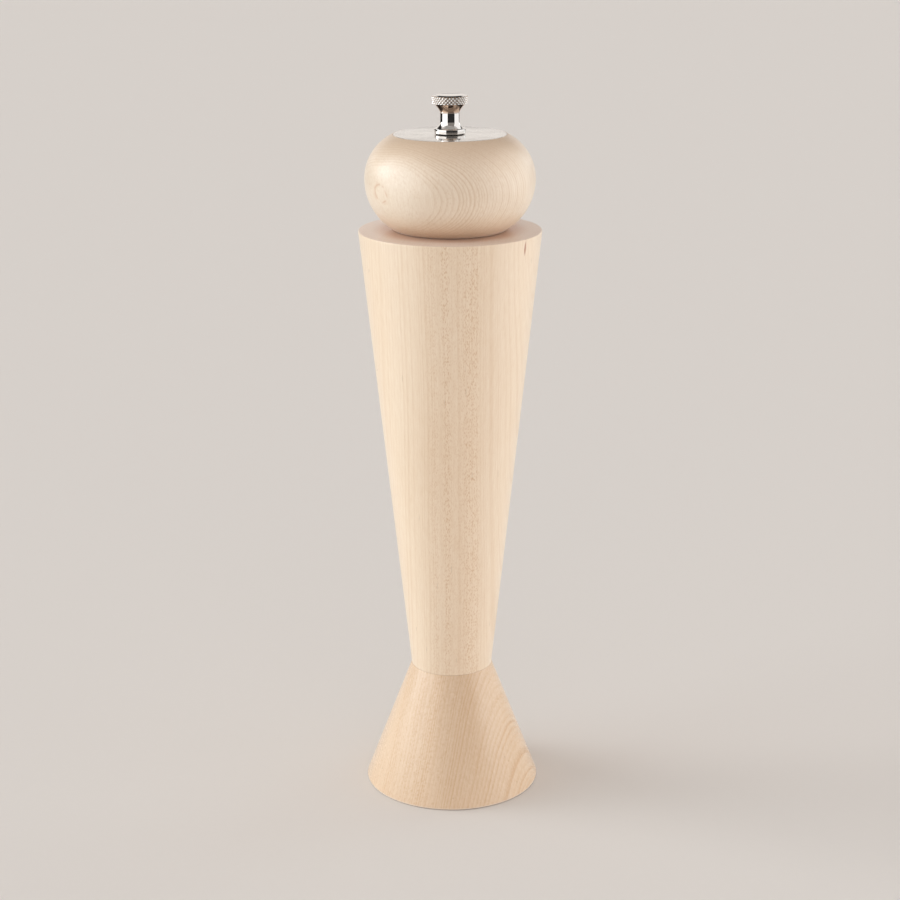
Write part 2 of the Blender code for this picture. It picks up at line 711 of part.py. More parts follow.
def make_mill():
    make_base()
    make_upper_body()
    make_stator()
    make_yoke()
    make_bottom_bar()
    make_screws("stator_screw", STATOR_SCREW, around(3, STATOR_SCREW_CIRCLE_R), STATOR_FLOOR_Z)
    make_screws("bar_screw", BAR_SCREW, bar_screw_centres(), BAR_FLOOR_Z)

    head_turn = new_axis("head_turn_axis", SEAT_FLOOR_Z)
    make_spring_seat(head_turn)
    make_spring(head_turn)

    grind_adjust = new_axis("grind_adjust_axis", SHAFT_FLOOR_Z, parent=head_turn)
    make_shaft(grind_adjust)
    make_rotor(grind_adjust)
    make_rotor_clip(grind_adjust)

    head_lift = new_axis("head_lift_axis", HEAD_FLOOR_Z, parent=head_turn)
    make_head(head_lift)
    make_top_plate(head_lift)
    make_driver_plate(head_lift)
    driver_screws = around(3, DRIVER_SCREW_CIRCLE_R)
    make_screws("driver_screw", DRIVER_SCREW, driver_screws, DRIVER_FLOOR_Z, head_lift)

    nut_lift = new_axis("nut_lift_axis", PLATE_TOP_Z, parent=head_lift)
    make_nut_washer(nut_lift)
    nut_turn = new_axis("nut_turn_axis", NUT_FLOOR_Z, parent=nut_lift)
    make_finial_nut(nut_turn)


clear_scene()
PARTS = new_collection("pepper_mill")
CUTTERS = new_collection("cutters")
make_mill()
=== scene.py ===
"""Detailed pieces, finishes, light and camera for the turned maple pepper mill.

Units are metres and +Z is up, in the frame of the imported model. Each piece is built where its
CAD node stands, rides on that node's body and takes its finish from that node's slot.
"""

import json
import math

import bmesh
import bpy
import numpy as np
from mathutils import Euler, Matrix, Vector


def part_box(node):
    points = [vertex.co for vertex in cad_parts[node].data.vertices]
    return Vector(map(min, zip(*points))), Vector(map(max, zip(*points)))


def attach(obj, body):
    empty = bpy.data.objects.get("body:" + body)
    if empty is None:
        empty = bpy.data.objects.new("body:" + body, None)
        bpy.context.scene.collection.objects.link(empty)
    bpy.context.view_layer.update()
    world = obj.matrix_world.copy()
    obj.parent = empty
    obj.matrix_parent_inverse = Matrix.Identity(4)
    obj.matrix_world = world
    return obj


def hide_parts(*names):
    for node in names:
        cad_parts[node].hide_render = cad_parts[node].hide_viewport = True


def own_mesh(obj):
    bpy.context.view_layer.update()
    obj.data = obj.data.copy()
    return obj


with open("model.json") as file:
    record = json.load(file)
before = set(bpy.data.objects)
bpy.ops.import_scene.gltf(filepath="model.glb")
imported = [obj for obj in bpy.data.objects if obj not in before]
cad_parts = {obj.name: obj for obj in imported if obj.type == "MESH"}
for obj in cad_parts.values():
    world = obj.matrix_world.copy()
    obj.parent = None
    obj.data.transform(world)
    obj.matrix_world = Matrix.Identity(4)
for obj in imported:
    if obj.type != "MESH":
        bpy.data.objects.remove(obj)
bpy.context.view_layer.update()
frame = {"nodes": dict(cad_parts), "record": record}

MM = 0.001
TURNED_SIDES = 192  # sides of a large turned piece
SMALL_SIDES = 96  # sides of a small round hole or rim
HOLE_SIDES = 32  # sides of a screw hole
ROD_SIDES = 48  # sides of a shaft or a screw
BURR_SIDES = 288  # sides of a burr, 8 to a fine tooth
THREAD_LEVELS = 8  # rings in a turn of thread
SHARP_DEG = 32  # edges that turn further than this stay sharp
MERGE_DISTANCE = 0.0005 * MM

# Foot
SEAM_R = 15.4 * MM
SEAM_Z = 47.7 * MM
SEAM_EDGE_R = 0.06 * MM
TENON_R = 12.5 * MM
FOOT_EDGE_R = 0.7 * MM
FOOT_CHAMFER = 0.3 * MM  # on the tenon, the bore and the recess
SOCKET_GAP = 0.3 * MM  # between the tenon and the body's socket
BAR_RECESS_R = 26.5 * MM
BAR_RECESS_TOP_Z = 4.0 * MM
FLANGE_RECESS_R = 20.5 * MM
FLANGE_RECESS_TOP_Z = 8.5 * MM
BURR_BORE_R = 14.0 * MM
BURR_BORE_TOP_Z = 36.1 * MM
NECK_BORE_R = 10.5 * MM

# Body and head
RIM_EDGE_R = 0.45 * MM
CHAMBER_R = 13.5 * MM
CHAMBER_FLOOR_Z = 74.0 * MM
CHAMBER_CONE_HEIGHT = 4.0 * MM
MOUTH_CHAMFER = 0.8 * MM
HEAD_FLOOR_Z = 217.2 * MM
HEAD_WIDEST_Z = 235.4 * MM
HEAD_UPPER_ARC_R = 17.6 * MM
HEAD_LOWER_ARC_R = 21.0 * MM
HEAD_BORE_R = 4.2 * MM
HEAD_TENON_R = 13.2 * MM
HEAD_TENON_CHAMFER = 1.0 * MM
HEAD_ARC_STEPS = 30

# Plate, washer, nut and shaft
RECESS_GAP = 0.12 * MM  # between the plate's edge and the wood
PLATE_LIFT = 0.15 * MM  # between the plate and its seat
PLATE_SINK = 0.26 * MM  # brings the plate's face level with the wood
THREAD_CLEARANCE_R = 2.9 * MM
PLATE_EDGE_R = 0.12 * MM
NUT_GRIP_Z = (262.5 * MM, 265.1 * MM)
NUT_WAIST_Z = (256.0 * MM, 258.9 * MM)
NUT_FOOT_TOP_Z = 253.6 * MM
NUT_FOOT_R = 5.7 * MM
NUT_WAIST_R = 3.5 * MM
NUT_FLAT_R = 4.9 * MM
NUT_FLARE_POWER = 1.6
NUT_BORE_R = 2.7 * MM
NUT_BORE_TOP_Z = 263.0 * MM
KNURL_STARTS = 32
KNURL_ROWS = 2
KNURL_DEPTH = 0.3 * MM
KNURL_STEPS = 8  # sides and levels in a diamond
FLARE_STEPS = 14
THREAD_PITCH = 0.8 * MM
THREAD_DEPTH = 0.4 * MM
SHAFT_ROUND_R = 2.4 * MM
SHAFT_GROOVE_R = 1.9 * MM
SHAFT_GROOVE_Z = (4.8 * MM, 5.8 * MM)
SHAFT_SQUARE_TOP_Z = 213.0 * MM
SHAFT_CORNER = 0.35 * MM
SHAFT_CHAMFER = 0.6 * MM
SHAFT_THREAD_LENGTH = 21.8 * MM

# Burrs, spring and small plates
FINE_HEIGHT = 4.0 * MM
ROTOR_FLOOR_R = 9.6 * MM
ROTOR_FINE_TOP_R = 8.6 * MM
ROTOR_TOP_R = 6.2 * MM
ROTOR_TEETH = 8
ROTOR_TWIST = math.radians(75)
STATOR_R = 13.7 * MM
STATOR_FLANGE_THICKNESS = 1.7 * MM
STATOR_FLOOR_TOOTH_R = 10.05 * MM
STATOR_FINE_TOOTH_R = 9.05 * MM
STATOR_TOP_TOOTH_R = 11.2 * MM
STATOR_TEETH = 12
FINE_TEETH = 36
COARSE_TOOTH_DEPTH = 1.1 * MM
FINE_TOOTH_DEPTH = 0.45 * MM
FINE_TWIST = 0.15  # radians, over the rotor's fine teeth
TOOTH_SLOPE = 0.7  # the long slope's share of a tooth
SPRING_WIRE_R = 0.5 * MM
SPRING_TURNS = 5
SPRING_WIRE_SIDES = 14
SPRING_STEPS = 40  # in a turn
SPRING_END_PITCH = 1.2 * MM
SQUARE_HOLE_HALF_WIDTH = 2.8 * MM
BAR_END_R = 4.5 * MM
BAR_PIN_HOLE_R = 2.7 * MM
BAR_SCREW_HOLE_R = 1.5 * MM
DRIVER_SCREW_HOLE_R = 1.3 * MM
CLIP_OPENING = math.radians(70)
CLIP_INNER_R = 2.1 * MM
SCREW_SLOT_WIDTH = 0.6 * MM
SCREW_SLOT_DEPTH = 0.6 * MM
SCREW_THREAD_PITCH = 1.0 * MM
SCREW_THREAD_DEPTH = 0.25 * MM

# Camera
LENS_MM = 79.32
CAMERA_PLACE = Vector((-0.00036, -0.71394, 0.34880))
CAMERA_PITCH = math.radians(-16.823)
CAMERA_ROLL = math.radians(-0.203)


# Meshes


def angles_of(count):
    return 2 * np.pi * np.arange(count) / count


def ring(radius, z, count):
    """Points round the axis at height z, counter-clockwise. radius may differ at each point."""
    angle = angles_of(count)
    radius = np.broadcast_to(radius, count)
    return np.stack([radius * np.cos(angle), radius * np.sin(angle), np.full(count, z)], axis=1)


def skinned(name, rings, closed, sharp_deg=SHARP_DEG):
    """Skins rings of equally many points.

    A closed skin's last ring joins its first, and an open one is capped.
    """
    count = len(rings[0])
    steps = len(rings) if closed else len(rings) - 1
    step, i = np.meshgrid(np.arange(steps), np.arange(count), indexing="ij")
    low = step * count
    high = (step + 1) % len(rings) * count
    j = (i + 1) % count
    quads = np.stack([low + i, low + j, high + j, high + i], axis=-1).reshape(-1, 4).tolist()
    if not closed:
        quads.append(list(range(count))[::-1])
        quads.append(list(range((len(rings) - 1) * count, len(rings) * count)))
    mesh = bpy.data.meshes.new(name)
    mesh.from_pydata(np.concatenate(rings).tolist(), [], quads)
    return tidied(mesh, sharp_deg)


def tidied(mesh, sharp_deg=SHARP_DEG):
    """Merges points that coincide, faces the skin outwards and smooths it between sharp edges."""
    made = bmesh.new()
    made.from_mesh(mesh)
    bmesh.ops.remove_doubles(made, verts=made.verts, dist=MERGE_DISTANCE)
    bmesh.ops.dissolve_degenerate(made, edges=made.edges, dist=MERGE_DISTANCE)
    bmesh.ops.recalc_face_normals(made, faces=made.faces)
    made.to_mesh(mesh)
    made.free()
    mesh.shade_smooth()
    mesh.set_sharp_from_angle(angle=math.radians(sharp_deg))
    return mesh


def turned(name, outline):
    """Turns a closed outline of (radius, height) points about the axis."""
    return skinned(name, [ring(r, z, TURNED_SIDES) for r, z in outline], closed=True)


def arc(centre_r, centre_z, radius, start_deg, end_deg, steps):
    """Points on an arc in the profile plane, 0 degrees pointing out and 90 up."""
    angles = [math.radians(start_deg + (end_deg - start_deg) * i / steps) for i in range(steps + 1)]
    return [(centre_r + radius * math.cos(a), centre_z + radius * math.sin(a)) for a in angles]


def hollow_flare(wide_r, wide_z, waist_r, waist_z):
    """Points from a wide edge in to the waist, which it meets upright."""
    points = []
    for i in range(FLARE_STEPS + 1):
        share = 1 - i / FLARE_STEPS
        radius = waist_r + (wide_r - waist_r) * share**NUT_FLARE_POWER
        points.append((radius, waist_z + (wide_z - waist_z) * share))
    return points


def circle(radius, x=0.0, y=0.0, steps=SMALL_SIDES):
    angles = [2 * math.pi * i / steps for i in range(steps)]
    return [(x + radius * math.cos(a), y + radius * math.sin(a)) for a in angles]


def square(half_width):
    return [(x * half_width, y * half_width) for x, y in ((1, 1), (-1, 1), (-1, -1), (1, -1))]


def stamped(name, outlines, low_z, high_z, edge):
    """A plate with rounded edges, cut to the first outline, with the others as holes."""
    curve = bpy.data.curves.new(name, "CURVE")
    curve.dimensions = "2D"
    curve.fill_mode = "BOTH"
    curve.extrude = (high_z - low_z) / 2 - edge
    curve.bevel_depth = edge
    curve.bevel_resolution = 2
    curve.offset = -edge
    for outline in outlines:
        spline = curve.splines.new("POLY")
        spline.points.add(len(outline) - 1)
        for point, (x, y) in zip(spline.points, outline):
            point.co = (x, y, 0.0, 1.0)
        spline.use_cyclic_u = True
    blank = bpy.data.objects.new(name + "_blank", curve)
    bpy.context.scene.collection.objects.link(blank)
    mesh = final_mesh(blank, name)
    mesh.transform(Matrix.Translation((0, 0, (low_z + high_z) / 2)))
    return tidied(mesh)


def final_mesh(blank, name):
    """The mesh of an object with its modifiers applied. The object itself is removed."""
    bpy.context.view_layer.update()
    evaluated = blank.evaluated_get(bpy.context.evaluated_depsgraph_get())
    mesh = bpy.data.meshes.new_from_object(evaluated)
    mesh.name = name
    mesh.materials.clear()
    bpy.data.objects.remove(blank, do_unlink=True)
    return mesh


def threaded(outer_r, pitch, depth, low_z, high_z):
    """Rings of a helical thread that runs out to full depth within half a turn at each end."""
    angle = angles_of(ROD_SIDES)
    rings = []
    levels = max(2, round((high_z - low_z) / pitch * THREAD_LEVELS))
    for z in np.linspace(low_z, high_z, levels + 1):
        turn = (z / pitch - angle / (2 * np.pi)) % 1
        groove = np.clip(1.25 - np.abs(4 * turn - 2), 0, 1)
        run_out = np.clip(min(z - low_z, high_z - z) / (0.5 * pitch), 0, 1)
        rings.append(ring(outer_r - depth * groove * run_out, z, ROD_SIDES))
    return rings


# Placing pieces

BODY_OF = {
    node: body for body, nodes in frame["record"]["behaviour"]["bodies"].items() for node in nodes
}
SLOT_OF = {row["node"]: row["material_slot"] for row in frame["record"]["subparts"]}
FINISHES = {}


def add_piece(name, mesh, node, place=None):
    """Adds a piece in the stead of a CAD node, on the node's body and in its finish."""
    piece = bpy.data.objects.new(name, mesh)
    bpy.context.scene.collection.objects.link(piece)
    if place is not None:
        piece.location = place
    if not mesh.materials:
        mesh.materials.append(FINISHES[SLOT_OF[node]])
    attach(piece, BODY_OF[node])
    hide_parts(node)
    return piece


def radius_of(node):
    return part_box(node)[1].x


def heights_of(node):
    low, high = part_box(node)
    return low.z, high.z


# Shader nodes


class Field:
    """A number or vector that varies over a surface, with the arithmetic that nodes do."""

    def __init__(self, graph, socket):
        self.graph = graph
        self.socket = socket

    def math(self, operation, *others):
        return self.graph.add("ShaderNodeMath", [self, *others], operation=operation)

    def __add__(self, other):
        return self.math("ADD", other)

    def __sub__(self, other):
        return self.math("SUBTRACT", other)

    def __mul__(self, other):
        return self.math("MULTIPLY", other)

    def stretch(self, x, y, z):
        """A vector with each part multiplied by its own number."""
        return self.graph.add("ShaderNodeVectorMath", [self, (x, y, z)], operation="MULTIPLY")

    def shift(self, other):
        return self.graph.add("ShaderNodeVectorMath", [self, other], operation="ADD")

    def part(self, axis):
        """One part of a vector: 0, 1 or 2."""
        return self.graph.add("ShaderNodeSeparateXYZ", [self], output=axis)

    def ease(self, low, high, start=0.0, end=1.0):
        """Runs smoothly from start to end as the value goes from low to high."""
        values = [self, low, high, start, end]
        return self.graph.add("ShaderNodeMapRange", values, interpolation_type="SMOOTHSTEP")


class Graph:
    """A material's nodes. Its calls return Fields."""

    def __init__(self, name, **constants):
        self.material = bpy.data.materials.new(name)
        self.material.use_nodes = True
        self.nodes = self.material.node_tree.nodes
        self.links = self.material.node_tree.links
        self.shader = self.nodes["Principled BSDF"]
        for socket, value in constants.items():
            self.shader.inputs[socket.replace("_", " ").title()].default_value = value

    def add(self, kind, values=(), output=0, **settings):
        made = self.nodes.new(kind)
        for key, value in settings.items():
            setattr(made, key, value)
        pairs = values.items() if isinstance(values, dict) else enumerate(values)
        for key, value in pairs:
            self.put(made.inputs[key], value)
        return Field(self, made.outputs[output])

    def put(self, socket, value):
        if isinstance(value, Field):
            self.links.new(value.socket, socket)
        elif socket.type == "RGBA":
            socket.default_value = (*value, 1.0)
        else:
            socket.default_value = value

    def place(self):
        """The surface point in millimetres, in the piece's own frame."""
        at = self.add("ShaderNodeTexCoord", output="Object")
        return at.stretch(1 / MM, 1 / MM, 1 / MM)

    def upness(self):
        """How far the surface faces up or down: 0 on an upright wall, 1 on a flat top."""
        normal = self.add("ShaderNodeTexCoord", output="Normal")
        return normal.part(2).math("ABSOLUTE")

    def noise(self, at, detail=2.0, roughness=0.5, output=0):
        values = {"Vector": at, "Scale": 1.0, "Detail": detail, "Roughness": roughness}
        return self.add("ShaderNodeTexNoise", values, output=output)

    def noise_along(self, at):
        """Noise that depends on one number only."""
        values = {"W": at, "Scale": 1.0, "Detail": 1.0}
        return self.add("ShaderNodeTexNoise", values, noise_dimensions="1D")

    def length(self, vector):
        return self.add("ShaderNodeVectorMath", [vector], output="Value", operation="LENGTH")

    def random(self, at):
        """A different number from 0 to 1 for each whole number."""
        return self.add("ShaderNodeTexWhiteNoise", {"W": at}, noise_dimensions="1D")

    def cells(self, at, output="Distance"):
        return self.add("ShaderNodeTexVoronoi", {"Vector": at, "Scale": 1.0}, output=output)

    def vector(self, x, y, z):
        return self.add("ShaderNodeCombineXYZ", [x, y, z])

    def ramp(self, at, stops):
        """A grey level read off a list of (position, level) stops."""
        made = self.add("ShaderNodeValToRGB", [at])
        points = made.socket.node.color_ramp.elements
        while len(points) < len(stops):
            points.new(0.5)
        for point, (position, level) in zip(points, stops):
            point.position = position
            point.color = (level, level, level, 1.0)
        return made

    def mix(self, share, under, over):
        """The colour under, with a share of the colour over laid on it."""
        made = self.nodes.new("ShaderNodeMix")
        made.data_type = "RGBA"  # its colours are inputs 6 and 7 and output 2
        self.put(made.inputs[0], share)
        self.put(made.inputs[6], under)
        self.put(made.inputs[7], over)
        return Field(self, made.outputs[2])

    def finish(self, colour=None, roughness=None, height=None, depth=0.0):
        """Connects what varies. depth is the bump's in metres from height 0 to 1."""
        if colour is not None:
            self.put(self.shader.inputs["Base Color"], colour)
        if roughness is not None:
            self.put(self.shader.inputs["Roughness"], roughness)
        if height is not None:
            bump = self.add("ShaderNodeBump", {"Distance": depth, "Height": height})
            self.put(self.shader.inputs["Normal"], bump)
        return self.material


# Wood

WOOD_RELIEF = 0.03 * MM
STREAK_COLOUR = (0.16, 0.075, 0.035)
RIM_SHADE_COLOUR = (0.60, 0.345, 0.205)
MARK_COLOUR = (0.42, 0.15, 0.085)
EDGE_SHADOW_COLOUR = (0.2, 0.14, 0.1)
KNOT_COLOUR = (0.56, 0.27, 0.12)
YEAR_STOPS = [(0.0, 0.3), (0.12, 0.0), (0.55, 0.15), (0.9, 1.0), (1.0, 0.55)]
CURL_STOPS = [(0.0, 0.0), (0.33, 0.1), (0.42, 1.0), (0.47, 0.3), (0.62, 0.0)]


def maple(
    name,
    pale,
    deep,
    end_grain_and_shade_colour,
    pith,
    lean,
    ring_mm,
    rings,
    flecks,
    fleck_band,
    gloss,
    calm=None,
    knot=None,
    mark=None,
    painted_edge_height=None,
    rim_shade=None,
):
    """Turned maple: growth rings round a pith line, fibres, ray flecks and mineral streaks.

    pith is a point on the line in the piece's frame, in millimetres, and lean the line's tilt in
    degrees. rings and flecks say how strongly each shows, and fleck_band is the distance from the
    pith at which the flecks are strongest and how far they reach from there, in millimetres.
    gloss is the least roughness, and calm the pair of distances from the pith between which the
    rings fade out. knot and mark are points on the surface. worn is the height below which the
    lower edge gets a painted highlight, with a painted contact shadow line under it. stain is the
    pair of distances from the axis between which a painted shade ring on the flat end, next to the
    head, fades out.
    """
    g = Graph(name, sheen_weight=0.22, sheen_roughness=0.35)
    at = g.place()
    wander = g.noise(at.stretch(1 / 34, 1 / 34, 1 / 120), detail=1.0, output="Color")
    bent = at.shift(wander.shift((-0.5, -0.5, -0.5)).stretch(5.0, 5.0, 0.0))
    from_pith = g.add(
        "ShaderNodeMapping",
        {"Vector": bent, "Location": pith, "Rotation": [math.radians(a) for a in (*lean, 0)]},
        vector_type="TEXTURE",
    )
    across = from_pith.stretch(1, 1, 0)
    radius = g.length(across)
    turn = from_pith.part(1).math("ARCTAN2", from_pith.part(0))
    arc_length = turn * radius
    height = from_pith.part(2)

    uneven = g.noise_along(radius * 0.22) * 2.4
    year = radius * (1 / ring_mm) + uneven
    late = g.ramp(year.math("FRACT"), YEAR_STOPS)
    strength = g.random(year.math("FLOOR")) * 0.75 + 0.25
    line = late * strength
    if calm is not None:
        line = line * radius.ease(*calm, 1.0, 0.12)

    grain = g.noise(from_pith.stretch(1.9, 1.9, 0.035), detail=3.0, roughness=0.6)
    fibre = g.noise(from_pith.stretch(5.5, 5.5, 0.14), detail=2.0)
    cloud = g.noise(at.stretch(0.055, 0.055, 0.014), detail=2.0)

    fleck_at = g.vector(arc_length * 1.1, radius * 0.75, height * 0.95)
    fleck_core = g.cells(fleck_at).ease(0.2, 0.62, 1.0, 0.0)
    fleck_keep = g.cells(fleck_at, output="Color").part(0).ease(0.1, 0.7)
    centre, reach = fleck_band
    fleck_zone = (radius - centre).math("ABSOLUTE").ease(0.3 * reach, 1.1 * reach, 1.0, 0.1)
    fleck_rows = g.noise_along(radius * 0.2).ease(0.3, 0.7, 0.45, 1.3)
    fleck = fleck_core * fleck_keep * fleck_zone * fleck_rows

    tone = line * rings + (grain - 0.5) * 0.9 + (cloud - 0.5) * 0.5 + 0.28
    colour = g.mix(tone.math("MAXIMUM", 0.0).math("MINIMUM", 1.0), pale, deep)
    fleck_colour = [c * f for c, f in zip(deep, (0.86, 0.72, 0.58))]
    colour = g.mix(fleck * flecks, colour, fleck_colour)

    streak_at = g.vector(arc_length * 0.9, radius * 0.9, height * 0.055)
    streak = g.cells(streak_at).ease(0.05, 0.13, 1.0, 0.0)
    streak_keep = g.cells(streak_at, output="Color").part(1).ease(0.93, 0.96)
    colour = g.mix(streak * streak_keep * 0.75, colour, STREAK_COLOUR)

    # Faces that look up or down take the end colour: end grain, and on the head also painted shade
    # on the upward shoulder.
    end = g.upness().ease(0.3, 1.0)
    speck = g.noise(at.stretch(2.6, 2.6, 0.6), detail=2.0).ease(0.45, 0.75)
    colour = g.mix(end * (speck * 0.3 + 0.7), colour, end_grain_and_shade_colour)
    # A painted shade ring on the rim's flat end, next to the head.
    if rim_shade is not None:
        from_axis = g.length(at.stretch(1, 1, 0))
        colour = g.mix(end * from_axis.ease(*rim_shade, 0.9, 0.0), colour, RIM_SHADE_COLOUR)
    if mark is not None:
        colour = g.mix(mark_line(g, at, mark), colour, MARK_COLOUR)
    # A painted highlight along the rounded lower edge, with a painted contact shadow line under it,
    # not on the flat underside.
    if painted_edge_height is not None:
        height_up = at.part(2)
        outward = g.upness().ease(0.8, 0.97, 1.0, 0.0)
        painted_highlight = height_up.ease(0.6 * painted_edge_height, painted_edge_height, 0.7, 0.0)
        colour = g.mix(painted_highlight * outward, colour, [c * 0.6 + 0.36 for c in pale])
        painted_shadow = height_up.ease(0.3 * painted_edge_height, 0.4 * painted_edge_height, 0.85, 0.0)
        colour = g.mix(painted_shadow * outward, colour, EDGE_SHADOW_COLOUR)
    if knot is not None:
        colour = g.mix(knot_line(g, at, knot) * 0.5, colour, KNOT_COLOUR)

    roughness = fibre * 0.12 + (line * 0.05 + gloss)
    relief = fibre * 0.5 + line * 0.3 - fleck * 0.25
    return g.finish(colour, roughness, relief, WOOD_RELIEF)


def knot_line(g, at, knot):
    """A thin broken curl of colour round the knot."""
    wobble = g.noise(at.stretch(0.22, 0.22, 0.22), detail=1.0) * 5.0 - 2.5
    away = at.shift([-c for c in knot]).stretch(1.1, 1.1, 1.5)
    distance = g.length(away) + wobble
    curl = g.ramp(distance * 0.1, CURL_STOPS)
    broken = g.noise(at.stretch(0.3, 0.3, 0.3), detail=1.0).ease(0.42, 0.6)
    return curl * broken


def mark_line(g, at, mark):
    """A short upright mineral streak that tapers away from the mark."""
    away = at.shift([-c for c in mark]).stretch(1.5, 1.5, 0.24)
    ragged = g.noise(at.stretch(2.2, 2.2, 0.35), detail=2.0) * 0.9 - 0.45
    distance = g.length(away) + ragged
    return distance.ease(0.35, 1.0, 0.8, 0.0)


def body_wood():
    return maple(
        "body_maple",
        pale=(0.865, 0.705, 0.545),
        deep=(0.73, 0.53, 0.36),
        pith=(177.0, -45.0, 0.0),
        lean=(0.6, 0.4),
        ring_mm=1.25,
        rings=0.4,
        flecks=0.62,
        fleck_band=(177.5, 13.0),
        gloss=0.26,
        end_grain_and_shade_colour=(0.71, 0.545, 0.45),
        # a painted shade ring on the rim's flat end next to the head
        rim_shade=(22.5, 29.5),
        mark=(26.6, -19.9, 213.8),
    )


def head_wood():
    return maple(
        "head_maple",
        pale=(0.845, 0.71, 0.575),
        deep=(0.69, 0.515, 0.365),
        pith=(20.8, 18.7, 241.0),
        lean=(6.0, -6.7),
        ring_mm=0.68,
        rings=0.75,
        flecks=0.2,
        fleck_band=(50.0, 14.0),
        gloss=0.26,
        # end grain, and painted shade on the head's upward shoulder
        end_grain_and_shade_colour=(0.62, 0.44, 0.30),
        calm=(54.5, 57.0),
        knot=(-24.5, -18.5, 233.0),
    )


def foot_wood():
    return maple(
        "foot_maple",
        pale=(0.80, 0.61, 0.445),
        deep=(0.635, 0.41, 0.24),
        pith=(-115.0, 40.0, 0.0),
        lean=(0.0, 2.0),
        ring_mm=1.15,
        rings=0.8,
        flecks=0.22,
        fleck_band=(118.0, 16.0),
        gloss=0.19,
        end_grain_and_shade_colour=(0.50, 0.32, 0.21),
        # a painted highlight and a painted contact shadow along the lower edge
        painted_edge_height=0.9,
    )


# Metals and fibre


def metal(name, colour, dull, roughness, spread, brush, depth_mm):
    """A metal with wear: a brushed or drawn grain, soft blotches and a few fine scratches.

    roughness grows by spread in the blotches, and brush is the grain's (x, y, z) features per
    millimetre.
    """
    g = Graph(name, metallic=1.0)
    at = g.place()
    grain = g.noise(at.stretch(*brush), detail=3.0, roughness=0.6)
    blotch = g.noise(at.stretch(0.3, 0.3, 0.3), detail=3.0)
    scratch = g.cells(at.stretch(1.3, 7.0, 1.3)).ease(0.0, 0.05, 1.0, 0.0)
    wear = (grain - 0.5) * 0.5 + (blotch - 0.5) * 0.8 + 0.4
    tinted = g.mix(wear.math("MAXIMUM", 0.0).math("MINIMUM", 1.0), colour, dull)
    rough = blotch.ease(0.3, 0.75, roughness, roughness + spread) + scratch * 0.05
    return g.finish(tinted, rough, grain + scratch * 0.4, depth_mm * MM)


def polished_nickel():
    """Bright nickel plate, softer on the disc and the knurl, with painted shade in the knurl's
    grooves and a painted reflection of the wood on the nut's flare."""
    g = Graph("polished_nickel", metallic=1.0)
    at = g.place()
    smudge = g.noise(at.stretch(0.16, 0.16, 0.16), detail=3.0, roughness=0.6)
    hairs = g.noise(at.stretch(0.5, 9.0, 9.0), detail=2.0).ease(0.66, 0.78)
    cross_hairs = g.noise(at.stretch(9.0, 0.5, 9.0), detail=2.0).ease(0.66, 0.78)
    colour = g.mix(smudge.ease(0.35, 0.8), (0.80, 0.77, 0.74), (0.74, 0.705, 0.67))

    height = at.part(2)
    grip_r = radius_of("finial_nut") / MM
    groove_floor_r = grip_r - KNURL_DEPTH / MM
    groove_middle_r = grip_r - 0.5 * KNURL_DEPTH / MM
    groove_shade = g.length(at.stretch(1, 1, 0)).ease(groove_floor_r, groove_middle_r, 1.0, 0.0)
    above = height.ease(NUT_GRIP_Z[0] / MM, NUT_GRIP_Z[0] / MM + 0.2)
    below = height.ease(NUT_GRIP_Z[1] / MM - 0.2, NUT_GRIP_Z[1] / MM, 1.0, 0.0)
    knurled = above * below
    colour = g.mix(knurled * 0.8, colour, (0.93, 0.905, 0.87))
    # Painted shade in the knurl's grooves.
    colour = g.mix(groove_shade * knurled * 0.9, colour, (0.20, 0.16, 0.13))

    normal = g.add("ShaderNodeTexCoord", output="Normal")
    facing_down = normal.part(2).ease(-0.45, -0.05, 1.0, 0.0)
    on_nut = height.ease(NUT_WAIST_Z[0] / MM, NUT_WAIST_Z[1] / MM)
    # A painted reflection of the wood on the nut's down-facing flare.
    colour = g.mix(facing_down * on_nut * 0.85, colour, (0.52, 0.34, 0.22))

    plate_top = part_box("top_plate")[1].z / MM
    on_plate = height.ease(plate_top, plate_top + 0.2, 1.0, 0.0)
    roughness = smudge.ease(0.35, 0.75, 0.05, 0.09) + (hairs + cross_hairs) * 0.03
    roughness = roughness + on_plate * 0.12 + knurled * 0.22
    return g.finish(colour, roughness, hairs + cross_hairs, 0.0004 * MM)


def plated_steel():
    colours = (0.66, 0.65, 0.62), (0.50, 0.49, 0.45)
    return metal("plated_steel", *colours, 0.24, 0.2, (0.8, 9, 9), 0.003)


def screw_steel():
    colours = (0.62, 0.60, 0.56), (0.44, 0.42, 0.37)
    return metal("screw_steel", *colours, 0.22, 0.2, (5, 5, 5), 0.004)


def spring_steel():
    colours = (0.58, 0.57, 0.55), (0.40, 0.39, 0.37)
    return metal("spring_steel", *colours, 0.2, 0.15, (6, 6, 1), 0.002)


def shaft_aluminium():
    colours = (0.80, 0.80, 0.79), (0.66, 0.66, 0.65)
    return metal("shaft_aluminium", *colours, 0.26, 0.16, (9, 9, 0.25), 0.004)


def burr_steel():
    colours = (0.30, 0.29, 0.28), (0.18, 0.17, 0.165)
    return metal("burr_steel", *colours, 0.34, 0.2, (3, 3, 3), 0.01)


def black_fibre():
    g = Graph("black_fibre")
    at = g.place()
    felt = g.noise(at.stretch(7, 7, 7), detail=4.0, roughness=0.7)
    colour = g.mix(felt, (0.030, 0.022, 0.016), (0.08, 0.062, 0.048))
    return g.finish(colour, felt.ease(0.2, 0.8, 0.55, 0.8), felt, 0.02 * MM)


def make_finishes():
    makers = (
        body_wood,
        head_wood,
        foot_wood,
        polished_nickel,
        plated_steel,
        screw_steel,
        spring_steel,
        shaft_aluminium,
        burr_steel,
        black_fibre,
    )
    for maker in makers:
        FINISHES[maker.__name__] = maker()


# Turned wood


